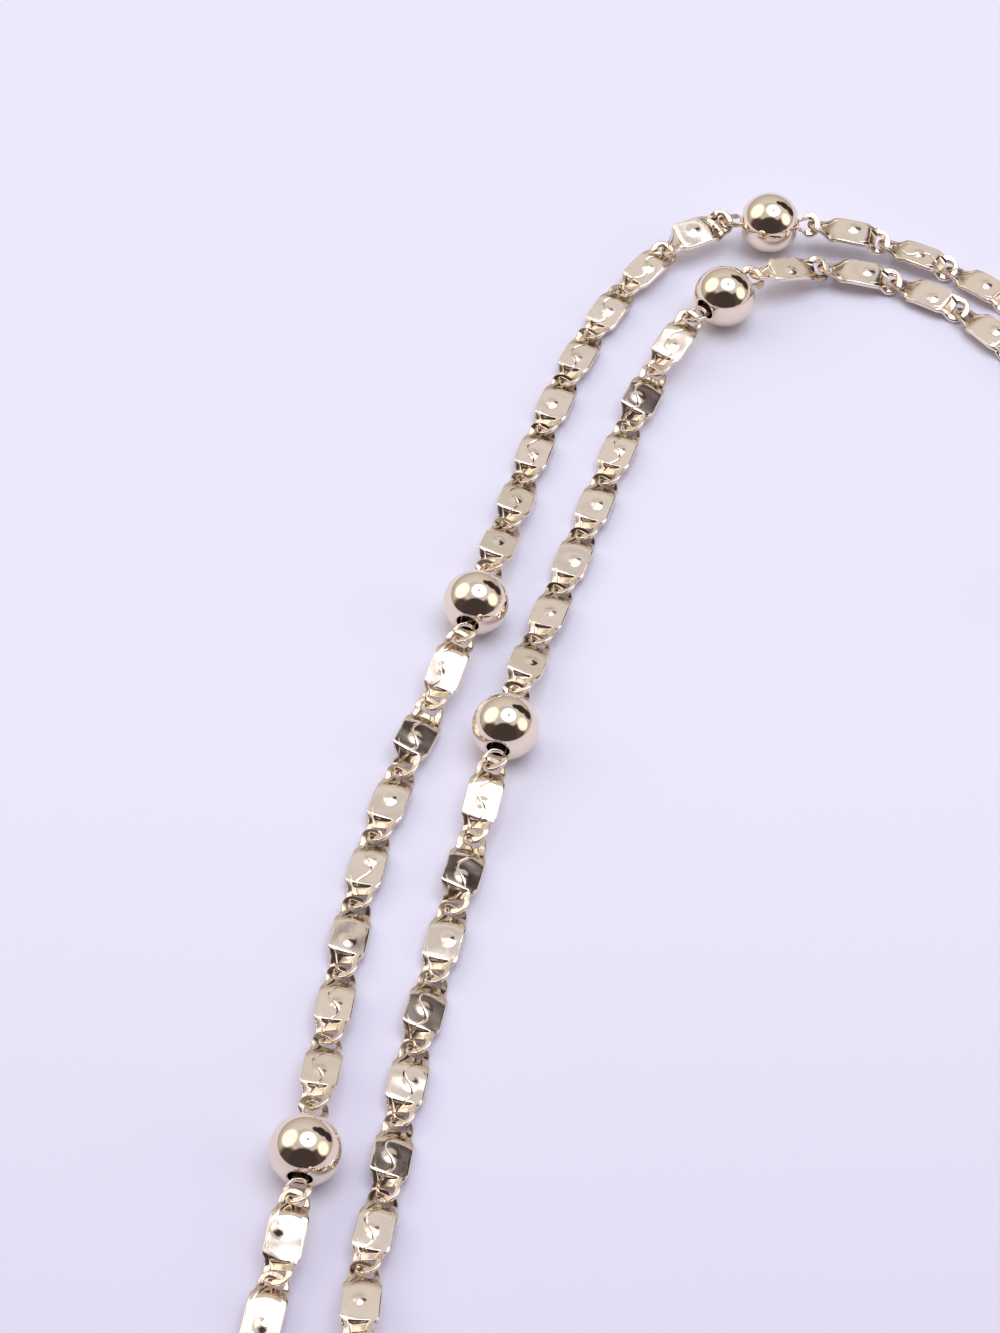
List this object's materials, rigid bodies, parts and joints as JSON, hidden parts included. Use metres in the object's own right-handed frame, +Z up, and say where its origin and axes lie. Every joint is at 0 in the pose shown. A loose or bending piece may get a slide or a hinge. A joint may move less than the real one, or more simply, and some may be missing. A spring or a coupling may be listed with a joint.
{
  "type": "beaded chain necklace",
  "caption": "Necklace of flat stamped links with polished ball beads set along it, laid down as a doubled loop and closed by a plain ring clasp.",
  "frame": {"origin": "middle of the necklace's footprint, on the surface that it lies on", "axes": "+Z up from the surface, +Y away from the camera along the doubled strands, +X to the right"},
  "size_m": [0.0724, 0.1208, 0.004],
  "materials": {
    "link_gold": "stamped flat and polished, pale champagne gold plate",
    "bead_gold": "mirror polished pale gold plate",
    "clasp_gold": "polished pale gold plate"
  },
  "bodies": {
    "root": {"chain": "link_gold", "bead_01": "bead_gold", "bead_02": "bead_gold", "bead_03": "bead_gold", "bead_04": "bead_gold", "bead_05": "bead_gold", "bead_06": "bead_gold", "bead_07": "bead_gold", "bead_08": "bead_gold", "bead_09": "bead_gold", "clasp": "clasp_gold"}
  },
  "joints": []
}
